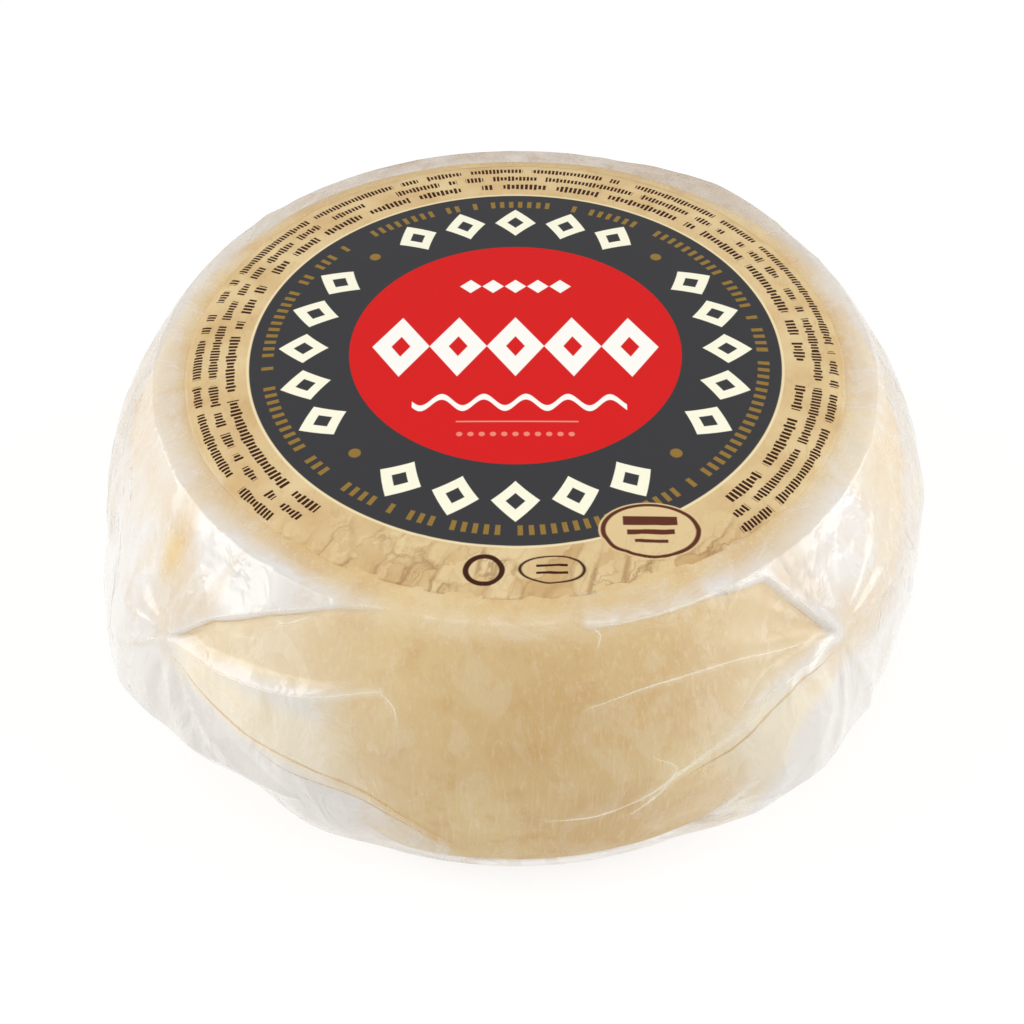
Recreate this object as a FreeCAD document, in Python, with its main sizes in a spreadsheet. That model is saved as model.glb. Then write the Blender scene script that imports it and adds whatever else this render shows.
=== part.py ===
"""A whole wheel of sheep's milk cheese, with its round paper label, sealed in clear film.

Three pieces, each a solid of its own: the cheese wheel, the label that lies on its crown,
and the closed film wrap, a thin skin that is tight over the crown and under the base and
stands off the sides, where the bag's four corners are folded into ears.
Frame: millimetres, +Z up, origin at the middle of the base that the wrap rests on, -Y the front.
"""
import FreeCAD, Part
import math
import os

import Sketcher

Vector = FreeCAD.Vector
doc = FreeCAD.newDocument("wrapped_cheese_wheel")


# ---- driving dimensions -------------------------------------------------------------------

sheet = doc.addObject("Spreadsheet::Sheet", "dimensions")
DIMENSIONS = [
    # the pressed wheel
    ("cheese_diameter", 156.0, "across the belly"),
    ("cheese_height", 69.0, "base to the middle of the crown"),
    ("crown_rise", 1.6, "how far the top face swells above its own edge"),
    ("belly_round", 55.0, "radius of the bulging side, seen in section"),
    ("shoulder_round", 7.0, "edge rounding, top and bottom"),
    # the paper label
    ("label_margin", 4.4, "cheese left bare between the label and the corner of the top face"),
    ("label_thickness", 0.3, "heavy kraft paper"),
    ("glue_gap", 0.1, "paste between cheese and paper"),
    # the film
    ("film_wall", 0.4, "film and the air trapped in its creases"),
    ("film_clearance", 0.3, "between the film and what it covers"),
    ("film_slack", 3.0, "how far the loose film stands off the belly"),
    ("front_share", 0.3, "how much more of the slack lies in front than behind"),
    ("slack_at_crown", 0.4, "what is left of the slack at the corner of the top face"),
    ("crinkle_depth", 0.45, "small creases, either way"),
    # the four ears, where the corners of the bag are folded against the side
    ("ear_reach", 42.0, "half width of a folded ear, along the belly"),
    ("ear_rise", 30.0, "half height of a folded ear"),
    ("front_left_place", 212.0, "degrees round the wheel: 0 is +X, 270 the front"),
    ("front_left_level", 27.0, "height of the ear's middle"),
    ("front_left_lift", 6.2, "how far it stands out"),
    ("front_right_place", 309.0, ""),
    ("front_right_level", 24.0, ""),
    ("front_right_lift", 4.8, ""),
    ("back_right_place", 52.0, ""),
    ("back_right_level", 57.0, ""),
    ("back_right_lift", 3.6, ""),
    ("back_left_place", 140.0, ""),
    ("back_left_level", 42.0, ""),
    ("back_left_lift", 2.6, ""),
    # the creases that fan out of each ear's tip
    ("tip_shift", 4.0, "degrees from the ear's middle to its tip, towards the fan"),
    ("tip_level", 48.0, "height of the tip"),
    ("crease_lift", 1.3, "how proud a crease stands"),
    ("crease_reach", 7.0, "half width of a crease"),
    ("upper_sweep", 27.0, "degrees that the upper crease runs round the wheel"),
    ("upper_level", 67.0, "height where it ends"),
    ("middle_sweep", 37.0, ""),
    ("middle_level", 55.0, ""),
    ("lower_sweep", 30.0, ""),
    ("lower_level", 24.0, ""),
]
for row, (alias, value, note) in enumerate(DIMENSIONS, start=1):
    sheet.set("A%d" % row, alias)
    sheet.set("B%d" % row, str(value))
    sheet.set("C%d" % row, note)
    sheet.setAlias("B%d" % row, alias)
doc.recompute()

# the places and spacing of the film's folds
SIDES = 96                  # facets round the film
BELLY_RINGS = 14            # bands of facets from the base corner to the crown corner
CROWN_SHARES = (0.72, 0.44, 0.16)    # rings over the crown, as shares of its corner radius
# each ear, and which way its creases fan: +1 anticlockwise from above, -1 clockwise
EARS = {"front_left": 1, "front_right": -1, "back_right": 1, "back_left": -1}
CREASES = ("upper", "middle", "lower")


def size(alias):
    """The value that the sheet holds under this name."""
    return float(sheet.get(alias))


# ---- helpers ------------------------------------------------------------------------------

def origin_plane(body, role):
    """One of a body's own origin planes, by its role."""
    return next(item for item in body.Origin.OriginFeatures if item.Role == role)


def sketch_in_section(body, name):
    """A sketch on the body's XZ plane: its x is the radius, its y the height."""
    sketch = body.newObject("Sketcher::SketchObject", name)
    sketch.AttachmentSupport = [(origin_plane(body, "XZ_Plane"), "")]
    sketch.MapMode = "FlatFace"
    return sketch


def constrain(sketch, *parts):
    """Adds one geometric constraint."""
    sketch.addConstraint(Sketcher.Constraint(*parts))


def drive(sketch, name, formula, *parts):
    """Adds one dimension, named, and binds it to the sheet."""
    index = sketch.addConstraint(Sketcher.Constraint(*parts))
    sketch.renameConstraint(index, name)
    sketch.setExpression("Constraints." + name, formula)


def revolve(body, sketch, name):
    """A full turn of a section about the upright axis."""
    turn = body.newObject("PartDesign::Revolution", name)
    turn.Profile = sketch
    turn.ReferenceAxis = (sketch, ["V_Axis"])
    turn.Angle = 360.0
    return turn


ORIGIN = -1
UPRIGHT = -2
START, END, CENTRE = 1, 2, 3


# ---- the cheese wheel ---------------------------------------------------------------------

def make_cheese():
    """A pressed wheel: flat base, bulging side, faintly swollen crown, rounded shoulders."""
    body = doc.addObject("PartDesign::Body", "cheese_wheel")
    sketch = sketch_in_section(body, "wheel_section")

    radius = size("cheese_diameter") / 2
    edge = size("cheese_height") - size("crown_rise")
    belly = size("belly_round")
    belly_x = radius - belly
    corner = belly_x + math.sqrt(belly ** 2 - (edge / 2) ** 2)
    crown = (corner ** 2 + size("crown_rise") ** 2) / (2 * size("crown_rise"))
    top = size("cheese_height")
    swing = math.asin(edge / 2 / belly)
    lean = math.asin(corner / crown)

    up = Vector(0, 0, 1)
    base = sketch.addGeometry(Part.LineSegment(Vector(0, 0, 0), Vector(corner, 0, 0)))
    side = sketch.addGeometry(Part.ArcOfCircle(
        Part.Circle(Vector(belly_x, edge / 2, 0), up, belly), -swing, swing))
    cap = sketch.addGeometry(Part.ArcOfCircle(
        Part.Circle(Vector(0, top - crown, 0), up, crown), math.pi / 2 - lean, math.pi / 2))
    axis = sketch.addGeometry(Part.LineSegment(Vector(0, top, 0), Vector(0, 0, 0)))

    constrain(sketch, "Coincident", base, START, ORIGIN, START)
    constrain(sketch, "Horizontal", base)
    constrain(sketch, "Coincident", base, END, side, START)
    constrain(sketch, "Coincident", side, END, cap, START)
    constrain(sketch, "Coincident", cap, END, axis, START)
    constrain(sketch, "Coincident", axis, END, base, START)
    constrain(sketch, "PointOnObject", axis, START, UPRIGHT)
    constrain(sketch, "PointOnObject", cap, CENTRE, UPRIGHT)
    drive(sketch, "belly", "dimensions.belly_round", "Radius", side, belly)
    drive(sketch, "belly_out", "dimensions.cheese_diameter / 2 - dimensions.belly_round",
          "DistanceX", ORIGIN, START, side, CENTRE, belly_x)
    drive(sketch, "belly_up", "(dimensions.cheese_height - dimensions.crown_rise) / 2",
          "DistanceY", ORIGIN, START, side, CENTRE, edge / 2)
    drive(sketch, "edge_up", "dimensions.cheese_height - dimensions.crown_rise",
          "DistanceY", ORIGIN, START, side, END, edge)
    drive(sketch, "height", "dimensions.cheese_height", "DistanceY", axis, END, axis, START, top)

    turn = revolve(body, sketch, "pressed_wheel")
    doc.recompute()

    # the two corners, where the side meets the base and the crown, are the level circles
    corners = ["Edge%d" % number for number, rim in enumerate(turn.Shape.Edges, start=1)
               if not rim.Degenerated and rim.BoundBox.ZLength < 1e-6 and rim.isClosed()]
    shoulders = body.newObject("PartDesign::Fillet", "shoulders")
    shoulders.Base = (turn, corners)
    shoulders.setExpression("Radius", "dimensions.shoulder_round")
    body.Tip = shoulders
    body.setExpression("Placement.Base.z", "dimensions.film_wall")
    return body


# ---- the paper label ----------------------------------------------------------------------

def make_label():
    """A round of paper that takes the crown's curve, pasted on it."""
    body = doc.addObject("PartDesign::Body", "round_label")
    sketch = sketch_in_section(body, "label_section")

    shape = crown_shape()
    radius = shape["corner"] - size("label_margin")
    low = shape["crown"] + size("glue_gap")
    high = low + size("label_thickness")
    centre = Vector(0, size("cheese_height") - shape["crown"], 0)
    up = Vector(0, 0, 1)

    def arc(bend):
        lean = math.acos(radius / bend)
        return sketch.addGeometry(Part.ArcOfCircle(Part.Circle(centre, up, bend), lean, math.pi / 2))

    under = arc(low)
    over = arc(high)
    foot = centre.y
    rim = sketch.addGeometry(Part.LineSegment(
        Vector(radius, foot + math.sqrt(low ** 2 - radius ** 2), 0),
        Vector(radius, foot + math.sqrt(high ** 2 - radius ** 2), 0)))
    axis = sketch.addGeometry(Part.LineSegment(
        Vector(0, foot + high, 0), Vector(0, foot + low, 0)))

    constrain(sketch, "Coincident", under, START, rim, START)
    constrain(sketch, "Coincident", rim, END, over, START)
    constrain(sketch, "Coincident", over, END, axis, START)
    constrain(sketch, "Coincident", axis, END, under, END)
    constrain(sketch, "Coincident", under, CENTRE, over, CENTRE)
    constrain(sketch, "PointOnObject", under, CENTRE, UPRIGHT)
    constrain(sketch, "PointOnObject", under, END, UPRIGHT)
    constrain(sketch, "Vertical", axis)
    constrain(sketch, "Vertical", rim)
    corner_out = ("dimensions.cheese_diameter / 2 - dimensions.belly_round + sqrt("
                  "dimensions.belly_round ^ 2 - "
                  "((dimensions.cheese_height - dimensions.crown_rise) / 2) ^ 2)")
    drive(sketch, "radius", corner_out + " - dimensions.label_margin",
          "DistanceX", ORIGIN, START, rim, START, radius)
    drive(sketch, "bend", "((%s) ^ 2 + dimensions.crown_rise ^ 2) / (2 * dimensions.crown_rise)"
          " + dimensions.glue_gap" % corner_out, "Radius", under, low)
    drive(sketch, "under_up", "dimensions.cheese_height + dimensions.glue_gap",
          "DistanceY", ORIGIN, START, under, END, foot + low)
    drive(sketch, "paper", "dimensions.label_thickness", "DistanceY", axis, END, axis, START,
          high - low)

    revolve(body, sketch, "paper_round")
    body.setExpression("Placement.Base.z", "dimensions.film_wall")
    return body


def crown_shape():
    """The corner radius of the top face, and the radius of the sphere its crown follows."""
    half_edge = (size("cheese_height") - size("crown_rise")) / 2
    corner = (size("cheese_diameter") / 2 - size("belly_round")
              + math.sqrt(size("belly_round") ** 2 - half_edge ** 2))
    crown = (corner ** 2 + size("crown_rise") ** 2) / (2 * size("crown_rise"))
    return {"corner": corner, "crown": crown}


# ---- the film wrap ------------------------------------------------------------------------

def tent(distance, reach):
    """1 at the middle of a fold, falling straight to 0 at its reach."""
    return max(0.0, 1.0 - abs(distance) / reach)


def turn_between(place, other):
    """The angle between two places round the wheel, in degrees, from -180 to 180."""
    return (place - other + 180.0) % 360.0 - 180.0


def off_segment(point, start, end):
    """How far a point lies from a straight stretch, both laid out flat."""
    along = (end[0] - start[0], end[1] - start[1])
    to_point = (point[0] - start[0], point[1] - start[1])
    share = (to_point[0] * along[0] + to_point[1] * along[1]) / (along[0] ** 2 + along[1] ** 2)
    share = min(1.0, max(0.0, share))
    return math.hypot(to_point[0] - share * along[0], to_point[1] - share * along[1])


def ear_lift(place, height):
    """How far the folded ears push the film out here.

    Each ear is a four-sided tent, and creases fan out of its tip as straight ridges. Both
    are worked out on the side laid out flat: millimetres round the belly, and the height.
    """
    degree = math.radians(1.0) * size("cheese_diameter") / 2
    lift = 0.0
    for ear, fan in EARS.items():
        round_ear = turn_between(place, size(ear + "_place")) * degree
        across = abs(round_ear) / size("ear_reach")
        upward = abs(height - size(ear + "_level")) / size("ear_rise")
        lift += size(ear + "_lift") * tent(across + upward, 1.0)

        tip = (fan * size("tip_shift") * degree, size("tip_level"))
        for crease in CREASES:
            end = (tip[0] + fan * size(crease + "_sweep") * degree, size(crease + "_level"))
            away = off_segment((round_ear, height), tip, end)
            lift += size("crease_lift") * tent(away, size("crease_reach"))
    return lift


def crinkle(column, ring):
    """The small creases: an uneven ripple that repeats nowhere round the wheel."""
    ripple = (math.sin(2.4 * column + 1.9 * ring)
              + math.sin(0.87 * column - 2.7 * ring + 0.6)
              + math.sin(4.9 * column + 0.5 * ring * ring))
    return size("crinkle_depth") * ripple / 3


def film_rings(skin):
    """The film's rings, base to crown: (radius, height, looseness from 0 to 1) of each.

    skin is how far the surface lies outside the cavity: 0 for the inside of the film, and
    the film's wall for its outside. The rings follow the cheese's own section, offset.
    """
    shape = crown_shape()
    edge = size("cheese_height") - size("crown_rise")
    base = size("film_wall") - skin
    lay = size("glue_gap") + size("label_thickness") + size("film_clearance") + skin
    belly_x = size("cheese_diameter") / 2 - size("belly_round")
    belly_z = size("film_wall") + edge / 2
    belly = size("belly_round") + size("film_clearance") + skin
    low = math.asin((base - belly_z) / belly)
    high = math.asin((size("film_wall") + edge + lay - belly_z) / belly)

    rings = []
    for step in range(BELLY_RINGS + 1):
        share = step / BELLY_RINGS
        bend = low + (high - low) * share
        loose = math.sin(math.pi * share) ** 0.7
        if step == BELLY_RINGS:
            loose = size("slack_at_crown")
        rings.append((belly_x + belly * math.cos(bend), belly_z + belly * math.sin(bend), loose))

    corner, corner_z, _ = rings[-1]
    apex = size("film_wall") + size("cheese_height") + lay
    rise = apex - corner_z
    sphere = (corner ** 2 + rise ** 2) / (2 * rise)
    for share in CROWN_SHARES:
        radius = corner * share
        drop = sphere - math.sqrt(sphere ** 2 - radius ** 2)
        rings.append((radius, apex - drop, 0.0))
    return rings


def film_skin(name, skin):
    """One closed surface of the film: flat facets between its creased rings."""
    rings = []
    for ring, (radius, height, loose) in enumerate(film_rings(skin)):
        points = []
        for column in range(SIDES):
            place = 360.0 * column / SIDES
            angle = math.radians(place)
            out = radius
            if loose > 0.0:
                slack = size("film_slack") * (1.0 - size("front_share") * math.sin(angle))
                out += loose * (slack + crinkle(column, ring)) + ear_lift(place, height)
            points.append(Vector(out * math.cos(angle), out * math.sin(angle), height))
        rings.append(points)

    faces = [facet(rings[0]), facet(rings[-1])]
    for ring, (lower, upper) in enumerate(zip(rings, rings[1:])):
        for column in range(SIDES):
            after = (column + 1) % SIDES
            if (column + ring) % 2:
                faces.append(facet([lower[column], lower[after], upper[after]]))
                faces.append(facet([lower[column], upper[after], upper[column]]))
            else:
                faces.append(facet([lower[column], lower[after], upper[column]]))
                faces.append(facet([lower[after], upper[after], upper[column]]))
    shell = Part.makeShell(faces)
    shell.sewShape()
    solid = doc.addObject("Part::Feature", name)
    solid.Shape = Part.Solid(shell)
    return solid


def facet(corners):
    """A flat face with these corners."""
    return Part.Face(Part.makePolygon(corners + corners[:1]))


def make_wrap():
    """The sealed film: its outer skin less the cavity that holds the cheese and label."""
    wrap = doc.addObject("Part::Cut", "clear_wrap")
    wrap.Base = film_skin("film_outside", size("film_wall"))
    wrap.Tool = film_skin("film_cavity", 0.0)
    return wrap


# ---- build, check and write ---------------------------------------------------------------

PIECES = [make_cheese(), make_label(), make_wrap()]
for piece, label in zip(PIECES, ("cheese_wheel", "round_label", "clear_wrap")):
    piece.Label = label
doc.recompute()

for item in doc.Objects:
    if "Invalid" in item.State or "Error" in item.State:
        raise RuntimeError("%s did not build: %s" % (item.Label, item.State))
for piece in PIECES:
    if piece.Shape.isNull() or not piece.Shape.isValid():
        raise RuntimeError(piece.Label + " has no valid shape")

os.makedirs("parts", exist_ok=True)
for piece in PIECES:
    piece.Shape.exportStep(os.path.join("parts", piece.Label + ".step"))
    box = piece.Shape.BoundBox
    print("%-13s %7.1f x %6.1f x %5.1f mm, %9.1f cm3, %d solid, %d faces" % (
        piece.Label, box.XLength, box.YLength, box.ZLength, piece.Shape.Volume / 1000,
        len(piece.Shape.Solids), len(piece.Shape.Faces)))
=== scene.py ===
# %% [markdown]
# # A wheel of sheep milk cheese in its clear wrap
# The real thing is a pressed wheel about 156 mm across, with a round paper label pasted on its
# crown, sealed in a loose clear film. One piece is made here for each CAD solid: the cheese, the
# label and the film. Two more lie on the film: the fine beads along its folds, and the tan lines
# where it is doubled over the cheese. Everything is in metres, in the CAD part's own frame.

# %% Load the frame
import math

import bpy
import numpy as np
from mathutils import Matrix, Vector


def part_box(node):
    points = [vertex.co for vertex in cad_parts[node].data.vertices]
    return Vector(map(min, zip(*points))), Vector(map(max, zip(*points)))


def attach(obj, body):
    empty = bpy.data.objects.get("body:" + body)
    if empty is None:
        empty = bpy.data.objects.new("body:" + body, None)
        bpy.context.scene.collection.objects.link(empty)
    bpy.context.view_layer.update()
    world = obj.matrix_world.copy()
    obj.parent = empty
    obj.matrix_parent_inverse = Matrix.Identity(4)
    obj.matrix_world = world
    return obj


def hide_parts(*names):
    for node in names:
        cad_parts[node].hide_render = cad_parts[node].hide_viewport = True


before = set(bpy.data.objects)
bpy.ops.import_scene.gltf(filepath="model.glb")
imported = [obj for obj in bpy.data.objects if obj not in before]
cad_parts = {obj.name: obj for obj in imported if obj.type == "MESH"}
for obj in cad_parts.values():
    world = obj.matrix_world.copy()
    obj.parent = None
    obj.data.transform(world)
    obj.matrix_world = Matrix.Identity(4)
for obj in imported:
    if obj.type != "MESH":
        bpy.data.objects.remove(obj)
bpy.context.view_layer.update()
MM = 0.001
for node in ("cheese_wheel", "round_label", "clear_wrap"):
    low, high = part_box(node)
    print(node, "mm:", [round(v / MM, 1) for v in (*low, *high)])
CHEESE_LOW, CHEESE_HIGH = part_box("cheese_wheel")
LABEL_LOW, LABEL_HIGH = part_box("round_label")
FILM_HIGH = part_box("clear_wrap")[1]

# %% [markdown]
# ## The camera
# The wheel is seen from close by and from well above, about 47 degrees over the table, so its
# round label shows as a wide oval. The camera looks along +Y. A slight shift puts the middle of
# the wheel where it should be in the picture without turning the camera.

# %% Camera
CAMERA_BACK = 0.21715       # metres in front of the wheel's axis
CAMERA_ABOVE = 0.18385      # metres above the label
CAMERA_DOWN = 46.57         # degrees that it looks down
CAMERA_LENS = 52.73         # focal length in millimetres
CAMERA_SENSOR = 36.0        # width in millimetres
CAMERA_SHIFT = -0.0034      # share of the picture's width

camera_data = bpy.data.cameras.new("camera")
camera_data.sensor_width = CAMERA_SENSOR
camera_data.lens = CAMERA_LENS
camera_data.shift_x = CAMERA_SHIFT
camera = bpy.data.objects.new("camera", camera_data)
camera.location = (0.0, -CAMERA_BACK, LABEL_HIGH.z + CAMERA_ABOVE)
camera.rotation_euler = (math.radians(90.0 - CAMERA_DOWN), 0.0, 0.0)
bpy.context.scene.collection.objects.link(camera)
bpy.context.scene.camera = camera
print("camera at", [round(v, 4) for v in camera.location])

# %% [markdown]
# ## Turned pieces
# A cheese wheel, a round label and the film round them are all close to turned shapes. Such a
# shape can be made by hand from one vertex: it is extruded point by point along the section,
# and a Screw modifier then turns the chain round the upright axis. The Spin tool does the same,
# but the modifier is much quicker when a full turn has hundreds of steps.

# %% Select nothing, then turn a section
TOUCHING = 0.001 * MM       # vertices nearer than this are one


def deselect():
    """Leaves object mode with nothing selected."""
    if bpy.context.object and bpy.context.object.mode != "OBJECT":
        bpy.ops.object.mode_set(mode="OBJECT")
    bpy.ops.object.select_all(action="DESELECT")


def turned(name, section, steps):
    """Turns a section, (radius, height) in millimetres, round the Z axis."""
    points = [Vector((radius, 0.0, height)) * MM for radius, height in section]
    deselect()
    bpy.ops.mesh.primitive_plane_add(size=MM, location=points[0])
    piece = bpy.context.object
    piece.name = piece.data.name = name
    bpy.ops.object.transform_apply(location=True, rotation=True, scale=True)
    bpy.ops.object.mode_set(mode="EDIT")
    bpy.ops.mesh.select_mode(type="VERT")
    bpy.ops.mesh.select_all(action="SELECT")
    bpy.ops.mesh.merge(type="CENTER")
    for before, after in zip(points, points[1:]):
        bpy.ops.mesh.extrude_region_move(TRANSFORM_OT_translate={"value": after - before})
    bpy.ops.object.mode_set(mode="OBJECT")
    screw = piece.modifiers.new("turn", "SCREW")
    screw.axis, screw.angle = "Z", 2 * math.pi
    screw.steps = screw.render_steps = steps
    screw.use_merge_vertices, screw.merge_threshold = True, TOUCHING
    bpy.ops.object.modifier_apply(modifier=screw.name)
    bpy.ops.object.mode_set(mode="EDIT")
    bpy.ops.mesh.select_all(action="SELECT")
    bpy.ops.mesh.remove_doubles(threshold=TOUCHING)
    bpy.ops.mesh.normals_make_consistent(inside=False)
    bpy.ops.object.mode_set(mode="OBJECT")
    bpy.ops.object.shade_smooth()
    print(name, "turned in", steps, "steps from a section of", len(points), "points")
    return piece


# %% [markdown]
# ## Worn shapes
# Nothing soft stays a true turned shape. By hand it would be worn with the sculpting brushes.
# Here the same is done by rule: all the vertices are read at once, each is moved by an amount
# that depends on its place, and they are written back. The rules are made of an easy step from
# 0 to 1 and of soft noise. A place is given in degrees round the wheel: 270 is the middle of the
# front, 180 the left and 0 the right.

# %% Read, write and measure a mesh
def read_points(piece):
    """The piece's vertices as an array, in millimetres."""
    flat = np.zeros(len(piece.data.vertices) * 3)
    piece.data.vertices.foreach_get("co", flat)
    return flat.reshape(-1, 3) / MM


def write_points(piece, points):
    """Puts the vertices where an array in millimetres says."""
    piece.data.vertices.foreach_set("co", (points * MM).ravel())
    piece.data.update()


def report(piece):
    """Prints what a piece has come to: its triangles, and its box in millimetres."""
    points = read_points(piece)
    faces = sum(len(face.vertices) - 2 for face in piece.data.polygons)
    print(piece.name, faces, "triangles,", [round(v, 1) for v in (*points.min(0), *points.max(0))])


# %% Easy steps, soft noise and places
CLOUD_ROWS = 128


def smooth(value):
    """0 below 0, 1 above 1, and an easy curve between."""
    value = np.clip(value, 0.0, 1.0)
    return value * value * (3 - 2 * value)


def eased(value, start, end):
    """0 at start and before it, 1 at end and past it. The end may be the lower of the two."""
    return smooth((value - start) / (end - start))


def clouds(across, up, seed, around=64):
    """Smooth noise from -1 to 1, one cloud to a unit. It repeats every `around` units across."""
    grid = np.random.default_rng(seed).uniform(-1.0, 1.0, (CLOUD_ROWS, around))
    column, row = np.floor(across).astype(int), np.floor(up).astype(int)
    x, y = smooth(across - column), smooth(up - row)
    left, right = column % around, (column + 1) % around
    low, high = row % CLOUD_ROWS, (row + 1) % CLOUD_ROWS
    return ((grid[low, left] * (1 - x) + grid[low, right] * x) * (1 - y)
            + (grid[high, left] * (1 - x) + grid[high, right] * x) * y)


def ridges(across, up, seed, around=64):
    """Soft noise with sharp crests, as crumpled film and paper have: from -0.5 to 0.5."""
    return 0.5 - np.abs(clouds(across, up, seed, around))


def apart(place, middle):
    """Degrees from a middle to a place, from -180 to 180."""
    return (place - middle + 180) % 360 - 180


# %% [markdown]
# ## Shader maths
# The finishes are patterns worked out from a point's place. They are easiest to read as plain
# arithmetic, so one small class wraps a shader socket, and an expression on such values adds the
# Math nodes that it needs. A second class makes every other kind of node.

# %% A shader value that arithmetic can be written on
class Value:
    """A socket of a node tree."""

    def __init__(self, finish, socket):
        self.finish, self.socket = finish, socket

    def math(self, operation, *numbers, clamp=False):
        """A Math node on these numbers or values."""
        settings = {"operation": operation, "use_clamp": clamp}
        return self.finish.node("ShaderNodeMath", settings, dict(enumerate(numbers))).out()

    def __add__(self, other):
        return self.math("ADD", self, other)

    __radd__ = __add__

    def __sub__(self, other):
        return self.math("SUBTRACT", self, other)

    def __rsub__(self, other):
        return self.math("SUBTRACT", other, self)

    def __mul__(self, other):
        return self.math("MULTIPLY", self, other)

    __rmul__ = __mul__

    def __truediv__(self, other):
        return self.math("DIVIDE", self, other)

    def __rtruediv__(self, other):
        return self.math("DIVIDE", other, self)

    def __mod__(self, other):
        return self.math("MODULO", self, other)

    def __pow__(self, other):
        return self.math("POWER", self, other)

    def __abs__(self):
        return self.math("ABSOLUTE", self)

    def __lt__(self, other):
        return self.math("LESS_THAN", self, other)

    def __gt__(self, other):
        return self.math("GREATER_THAN", self, other)

    def most(self, other):
        return self.math("MAXIMUM", self, other)

    def clamped(self):
        return self.math("ADD", self, 0.0, clamp=True)

    def ramp(self, low, high):
        """0 at low, 1 at high, and straight between."""
        return self.math("MULTIPLY", self - low, 1.0 / (high - low), clamp=True)

    def sine(self):
        return self.math("SINE", self)

    def rounded(self):
        return self.math("ROUND", self)

    def floor(self):
        return self.math("FLOOR", self)


class Made:
    """A new node and the finish that it belongs to."""

    def __init__(self, finish, node):
        self.finish, self.node = finish, node

    def out(self, name=0):
        return Value(self.finish, self.node.outputs[name])


# %% A finish, which makes nodes
class Finish:
    """A material's node tree, or the world's, made in code."""

    def __init__(self, owner):
        owner.use_nodes = True
        self.owner, self.tree = owner, owner.node_tree
        self.tree.nodes.clear()

    def node(self, kind, settings=None, inputs=None):
        """One node: its type, its settings, then the values or links of its sockets."""
        node = self.tree.nodes.new(kind)
        for name, value in (settings or {}).items():
            setattr(node, name, value)
        for name, value in (inputs or {}).items():
            socket = node.inputs[name]
            if isinstance(value, Value):
                self.tree.links.new(value.socket, socket)
            elif socket.type == "RGBA":
                socket.default_value = (*value, 1.0)
            else:
                socket.default_value = value
        return Made(self, node)

    def places(self):
        """The point's own x, y and z in millimetres."""
        coordinates = self.node("ShaderNodeTexCoord").out("Object")
        parts = self.node("ShaderNodeSeparateXYZ", None, {0: coordinates})
        return [parts.out(axis) * (1.0 / MM) for axis in ("X", "Y", "Z")]

    def vector(self, x, y, z):
        return self.node("ShaderNodeCombineXYZ", None, {0: x, 1: y, 2: z}).out()

    def noise(self, where, scale, detail, roughness, distortion=0.0):
        """Soft clouds from 0 to 1. where is in millimetres, and so is a cloud when scale is 1."""
        return self.node("ShaderNodeTexNoise", None, {
            "Vector": where, "Scale": scale, "Detail": detail, "Roughness": roughness,
            "Distortion": distortion}).out("Fac")

    def blend(self, share, first, second):
        """A colour between two colours."""
        return self.node("ShaderNodeMix", {"data_type": "RGBA", "blend_type": "MIX"},
                         {0: share, 6: first, 7: second}).out(2)

    def bump(self, height, distance, strength):
        """A normal from a height of 0 to 1 that stands for distance millimetres."""
        return self.node("ShaderNodeBump", None, {
            "Height": height, "Distance": distance * MM, "Strength": strength}).out("Normal")

    def mix_shaders(self, share, first, second):
        return self.node("ShaderNodeMixShader", None, {0: share, 1: first, 2: second}).out()

    def show(self, shader, output="ShaderNodeOutputMaterial"):
        """Ends the tree with this shader, and gives back the material or world."""
        self.node(output, None, {"Surface": shader})
        print(self.owner.name, "has", len(self.tree.nodes), "nodes")
        return self.owner


def new_finish(name):
    return Finish(bpy.data.materials.new(name))


def srgb(red, green, blue):
    """A colour written as 0 to 255 on a screen, as the shader's linear light."""
    return tuple((v / 255 / 12.92 if v <= 10.31 else ((v / 255 + 0.055) / 1.055) ** 2.4)
                 for v in (red, green, blue))


WHITE = (1.0, 1.0, 1.0)

# %% [markdown]
# ## The cheese
# A pressed wheel is not quite true: the side bulges, the edges are round and the crown is a
# little domed. It could be carved from a cylinder, but a section of arcs turned round the axis
# gives the bulge and the round edges at once. The wheel is young and soft, so the foot of its
# front has settled outwards, its lower corners are rounder, and slow swells of soft noise leave
# no part of the side quite true.

# %% The wheel's section
WHEEL_RADIUS = (CHEESE_HIGH.x - CHEESE_LOW.x) / 2 / MM
WHEEL_BASE = CHEESE_LOW.z / MM
WHEEL_TOP = CHEESE_HIGH.z / MM
CROWN_RISE = 1.6            # how far the middle of the crown stands over its edge
CROWN_DROP = 0.15           # how far the crown has fallen where the round edge starts
BELLY_ROUND = 55.0          # radius of the side's bulge, in section
SHOULDER_ROUND = 7.0        # radius of the round edges, in section
EDGE_TOP = WHEEL_TOP - CROWN_RISE
BELLY_X = WHEEL_RADIUS - BELLY_ROUND
BELLY_Z = (WHEEL_BASE + EDGE_TOP) / 2
CORNER = BELLY_X + math.sqrt(BELLY_ROUND ** 2 - (EDGE_TOP - BELLY_Z) ** 2)
CROWN_SPHERE = (CORNER ** 2 + CROWN_RISE ** 2) / (2 * CROWN_RISE)
WHEEL_STEPS = 360


def arc(middle, size, first, last, steps):
    """Points of a section, (radius, height), along an arc from one angle to another."""
    turns = [first + (last - first) * i / steps for i in range(steps + 1)]
    return [(middle[0] + size * math.cos(turn), middle[1] + size * math.sin(turn))
            for turn in turns]


def dome(top, sphere, radius):
    """Height of a dome at a radius: its middle is at top, and it is part of that sphere."""
    return top - sphere + math.sqrt(sphere ** 2 - radius ** 2)


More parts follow.
